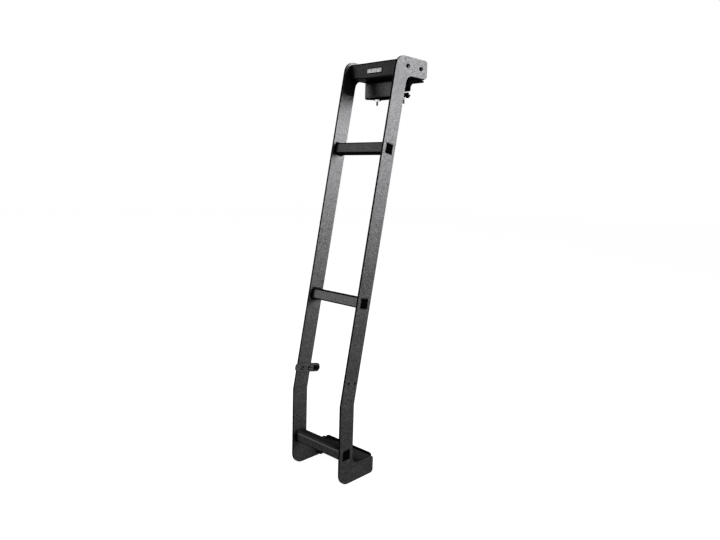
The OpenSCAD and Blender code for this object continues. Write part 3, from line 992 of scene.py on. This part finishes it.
# A wing nut hangs below the bracket, so its heights are negative: half a wing's height and
# thickness at most, the height of its middle and how far its tips hang, and the turns in degrees
WING_HEIGHT = 0.0029
WING_THICKNESS = 0.0013
WING_Z = -0.0034
WING_DROOP = 0.0008
WING_TURNS = (8, -14)

# Profile (radius, height) of the washer and the hub
WING_HUB = (
    (0.0031, -0.0055), (0.0033, -0.0059), (0.0045, -0.0059), (0.0049, -0.0054), (0.0057, -0.0018),
    (0.0058, -0.0010), (0.0070, -0.0010), (0.0072, -0.0008), (0.0072, -0.0002), (0.0070, 0.0),
    (0.0032, 0.0),
)


class LADDER_OT_wing_nuts(bpy.types.Operator):
    """Make the wing nuts with their washers on the clamp studs"""

    bl_idname = "ladder.wing_nuts"
    bl_label = "Wing nuts"

    def wings(self, name, span, matrix):
        """Both wings as one shell: a flattened tube carried along a drooping curve.

        Along t from -1 to 1 the middle is (t * span / 2, 0, z - d t^2), the half height is
        b * (0.55 + 0.45 |t|) * sqrt(1 - |t|^6), and the half thickness is half of that,
        but no more than c.
        """
        t = np.linspace(-0.999, 0.999, 61)
        a = np.linspace(0, 2 * pi, 20, endpoint=False)
        high = WING_HEIGHT * (0.55 + 0.45 * np.abs(t)) * (1 - np.abs(t) ** 6) ** 0.5
        thick = np.minimum(WING_THICKNESS, high * 0.5)
        x = np.repeat((t * span / 2)[:, None], len(a), 1)
        y = thick[:, None] * np.cos(a)[None]
        z = (WING_Z - WING_DROOP * t ** 2)[:, None] + high[:, None] * np.sin(a)[None]
        caps = [range(len(a)), range(len(t) * len(a) - 1, (len(t) - 1) * len(a) - 1, -1)]
        quads = ring_indices(len(t), len(a))[:, ::-1]
        return make_piece(name, np.stack([x, y, z], -1), quads, caps, matrix)

    def execute(self, context):
        span = context.scene.ladder_fasteners.wing_span
        for (word, _), turn in zip(SIDES, WING_TURNS):
            low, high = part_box(f"{word}_clamp_stud")
            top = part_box(f"{word}_wing_nut")[1].z
            place = Matrix.Translation(((low.x + high.x) / 2, (low.y + high.y) / 2, top))
            core = revolved(f"{word}_wing_nut_hub", WING_HUB, place, 40)
            wings = self.wings(f"{word}_wing_nut_wings", span,
                               place @ Matrix.Rotation(radians(turn), 4, "Z"))
            for piece in (core, wings):
                dress(piece, "stainless")
            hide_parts(f"{word}_wing_nut")
        return {"FINISHED"}


# The lights: what they aim at, where they stand and how wide and high they are
AIM = (0.0, -0.1, -0.45)
KEY_PLACE = (2.0, 1.9, 0.7)
KEY_SIZE = (2.2, 2.2)
FILL_PLACE = (-2.0, -2.1, -0.4)
FILL_SIZE = (1.4, 2.2)

# The white surroundings: the floor's own colours, its glow as the camera sees it, and the
# strength of the background as a light and as it is seen
WHITE = (1, 1, 1, 1)
FLOOR_COLOURS = (0.085, 0.095)
FLOOR_GLOW = 0.957
SKY_LIGHT = 0.4
SKY_SEEN = 1.0

# The photograph's camera, fitted to its edges: azimuth, pitch and roll in radians, its place
# from the drawing's datum, and its focal length and picture width in pixels
CAMERA_TURN = (0.744239, 0.145750, -0.030274)
CAMERA_PLACE = (1.184434, -1.122653, 0.829668)
FOCAL_PIXELS = 612.972
PICTURE_PIXELS = 720
SENSOR_WIDTH = 36.0


class LADDER_OT_stage(bpy.types.Operator):
    """Make the floor, the lights, the background and the camera"""

    bl_idname = "ladder.stage"
    bl_label = "Studio"

    def floor(self, size, z):
        """A square floor that looks white to the camera and throws little light back."""
        corners = np.array([[-1, -1, 0], [1, -1, 0], [1, 1, 0], [-1, 1, 0]], float) * size / 2
        mesh = bpy.data.meshes.new("floor")
        mesh.from_pydata((corners + np.array([0, 0, z])).tolist(), [], [[0, 1, 2, 3]])
        floor = bpy.data.objects.new("floor", mesh)
        bpy.context.scene.collection.objects.link(floor)
        pale = Finish("pale_floor", Roughness=0.9)
        pale.set("Specular IOR Level", 0.0)
        pale.set("Base Color", pale.blend(pale.noise(3.0, 4.0, 0.5), *map(grey, FLOOR_COLOURS)))
        seen = (pale.node("ShaderNodeLightPath", output="Is Camera Ray")
                + pale.node("ShaderNodeLightPath", output="Is Glossy Ray"))
        pale.set("Emission Color", WHITE)
        pale.set("Emission Strength", seen * FLOOR_GLOW)
        mesh.materials.append(pale.material)

    def light(self, name, power, place, size):
        """A square-edged lamp at a place, turned to face the ladder."""
        data = bpy.data.lights.new(name, "AREA")
        data.shape = "RECTANGLE"
        data.size, data.size_y = size
        data.energy = power
        lamp = bpy.data.objects.new(name, data)
        lamp.location = place
        lamp.rotation_mode = "QUATERNION"
        lamp.rotation_quaternion = (Vector(AIM) - Vector(place)).to_track_quat("-Z", "Y")
        bpy.context.scene.collection.objects.link(lamp)

    def world(self):
        """A white background, seen at full strength and weaker as a light."""
        world = bpy.data.worlds.new("studio")
        bpy.context.scene.world = world
        world.use_nodes = True
        sky = Tree(world.node_tree)
        camera, glossy, clear = (
            sky.node("ShaderNodeLightPath", output=f"Is {ray} Ray")
            for ray in ("Camera", "Glossy", "Transmission")
        )
        mirrored = sky.node("ShaderNodeMath", {"operation": "MAXIMUM"}, {0: glossy, 1: clear})
        seen = sky.node("ShaderNodeMath", {"operation": "MAXIMUM"}, {0: camera, 1: mirrored})
        light = sky.tree.nodes["Background"]
        sky.link(light.inputs["Color"], WHITE)
        sky.link(light.inputs["Strength"], SKY_LIGHT)
        view = sky.node("ShaderNodeBackground", None, {"Color": WHITE, "Strength": SKY_SEEN})
        mix = sky.node("ShaderNodeMixShader", None, {"Fac": seen, 1: Value(sky, light.outputs[0]), 2: view})
        sky.link(sky.tree.nodes["World Output"].inputs["Surface"], mix)

    def camera(self):
        """The camera from its turns: the look's axis, and the picture's axes rolled about it."""
        azimuth, pitch, roll = CAMERA_TURN
        look = Vector((-sin(azimuth) * cos(pitch), cos(azimuth) * cos(pitch), -sin(pitch)))
        right = Vector((cos(azimuth), sin(azimuth), 0.0))
        down = look.cross(right)
        across = cos(roll) * right + sin(roll) * down
        upward = sin(roll) * right - cos(roll) * down
        data = bpy.data.cameras.new("photo_view")
        data.sensor_width = SENSOR_WIDTH
        data.lens = FOCAL_PIXELS / PICTURE_PIXELS * SENSOR_WIDTH
        camera = bpy.data.objects.new("photo_view", data)
        x, y, z = CAMERA_PLACE
        rows = Matrix((across, upward, -look)).transposed()
        camera.matrix_world = Matrix.Translation((x, *side_view(y, z))) @ rows.to_4x4()
        bpy.context.scene.collection.objects.link(camera)
        bpy.context.scene.camera = camera

    def execute(self, context):
        props = context.scene.ladder_stage
        self.floor(props.floor_size, DATUM_Z)
        self.light("key", props.key_power, KEY_PLACE, KEY_SIZE)
        self.light("fill", props.fill_power, FILL_PLACE, FILL_SIZE)
        self.world()
        self.camera()
        context.scene.view_settings.view_transform = "Standard"
        return {"FINISHED"}


class LADDER_PT_panel(bpy.types.Panel):
    """Shows the ladder's operators and settings in the sidebar"""

    bl_label = "Ladder"
    bl_idname = "LADDER_PT_panel"
    bl_space_type = "VIEW_3D"
    bl_region_type = "UI"
    bl_category = "Ladder"

    def draw(self, context):
        for operator in OPERATORS:
            self.layout.operator(operator.bl_idname)
        for name, group in GROUPS.items():
            box = self.layout.box()
            for setting in group.__annotations__:
                box.prop(getattr(context.scene, name), setting)


GROUPS = {
    "ladder_finish": LadderFinish,
    "ladder_badge": LadderBadge,
    "ladder_fasteners": LadderFasteners,
    "ladder_stage": LadderStage,
}
OPERATORS = (
    LADDER_OT_finishes, LADDER_OT_badge, LADDER_OT_welds, LADDER_OT_screws,
    LADDER_OT_guards, LADDER_OT_wing_nuts, LADDER_OT_stage,
)


def register():
    for item in (*GROUPS.values(), *OPERATORS, LADDER_PT_panel):
        bpy.utils.register_class(item)
    for name, group in GROUPS.items():
        setattr(bpy.types.Scene, name, bpy.props.PointerProperty(type=group))


def unregister():
    for name in GROUPS:
        delattr(bpy.types.Scene, name)
    for item in (LADDER_PT_panel, *OPERATORS[::-1], *list(GROUPS.values())[::-1]):
        bpy.utils.unregister_class(item)


def main():
    register()
    for operator in OPERATORS:
        group, name = operator.bl_idname.split(".")
        getattr(getattr(bpy.ops, group), name)()


if __name__ == "__main__":
    main()
